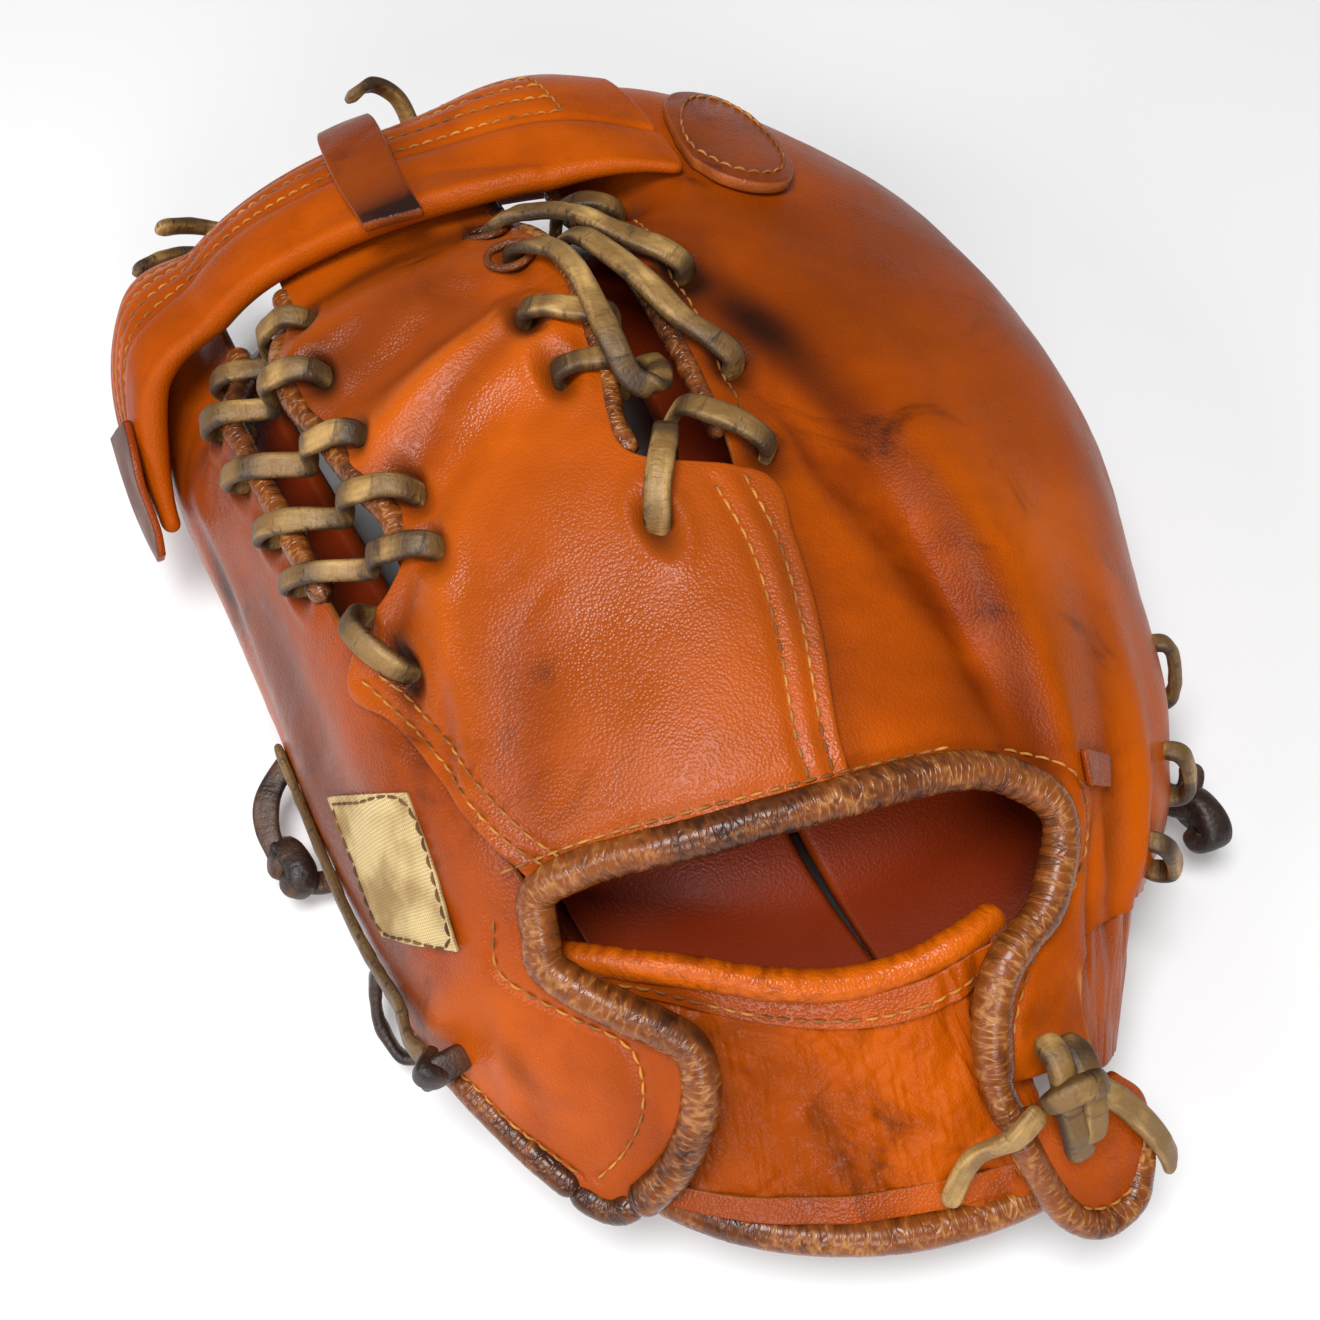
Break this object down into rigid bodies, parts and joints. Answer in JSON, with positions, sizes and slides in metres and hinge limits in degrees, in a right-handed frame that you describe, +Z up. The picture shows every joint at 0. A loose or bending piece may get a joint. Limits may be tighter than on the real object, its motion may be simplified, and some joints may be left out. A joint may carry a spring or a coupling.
{
  "type": "three-lobed baseball mitt",
  "caption": "Worn padded leather mitt with laced finger lobes, a padded band over their tips, an open hand space and a wrist strap, lying palm down.",
  "frame": {"origin": "on the resting plane, under the middle of the mitt's box", "axes": "+Z up from the palm to the back of the mitt, +Y from the wrist to the finger tips, +X towards the thumb side"},
  "size_m": [0.232, 0.3168, 0.1187],
  "materials": {
    "leather": "worn, oiled, orange-brown with dark stains",
    "padding": "worn, matt, padded",
    "binding": "wrinkled dark brown with rubbed tan edges",
    "lace": "dry rawhide, olive-tan",
    "dark_lace": "dark dry rawhide",
    "cloth": "woven, dull"
  },
  "bodies": {
    "root": {"palm_finger": "padding", "palm_middle": "padding", "palm_thumb": "padding", "back_finger": "leather", "back_middle": "leather", "back_thumb": "leather", "thumb_heel": "leather", "thumb_tab": "leather", "wrist_strap": "leather", "strap_top_roll": "leather", "strap_bottom_roll": "binding", "tab_binding": "binding", "opening_binding": "binding", "finger_hem_binding": "binding", "finger_gap_roll": "binding", "middle_finger_roll": "binding", "middle_thumb_roll": "binding", "thumb_gap_roll": "binding", "finger_gap_lace_1": "lace", "finger_gap_lace_2": "lace", "finger_gap_lace_3": "lace", "finger_gap_lace_4": "lace", "finger_gap_lace_5": "lace", "thumb_gap_lace_1": "lace", "thumb_gap_lace_2": "lace", "thumb_gap_lace_3": "lace", "thumb_gap_lace_4": "lace", "thumb_gap_lace_5": "lace", "thumb_gap_lace_6": "lace", "thumb_gap_lace_7": "lace", "finger_crotch_lace": "lace", "thumb_crotch_lace": "lace", "tip_strap": "leather", "thumb_tip_patch": "leather", "tip_strap_keeper": "leather", "tip_strap_point": "binding", "label_patch": "cloth", "slit_strip": "dark_lace", "wrist_knot": "lace", "wrist_tail_left": "lace", "wrist_tail_right": "lace", "rim_lace_right_1": "lace", "rim_lace_right_2": "lace", "rim_lace_right_3": "lace", "left_loop": "dark_lace", "left_knot": "dark_lace", "right_knot": "dark_lace", "tip_end_curl": "lace", "tip_end_flat": "lace", "tip_end_left_upper": "lace", "tip_end_left_lower": "lace", "left_tail_knot": "lace", "left_tail": "lace"}
  },
  "joints": []
}
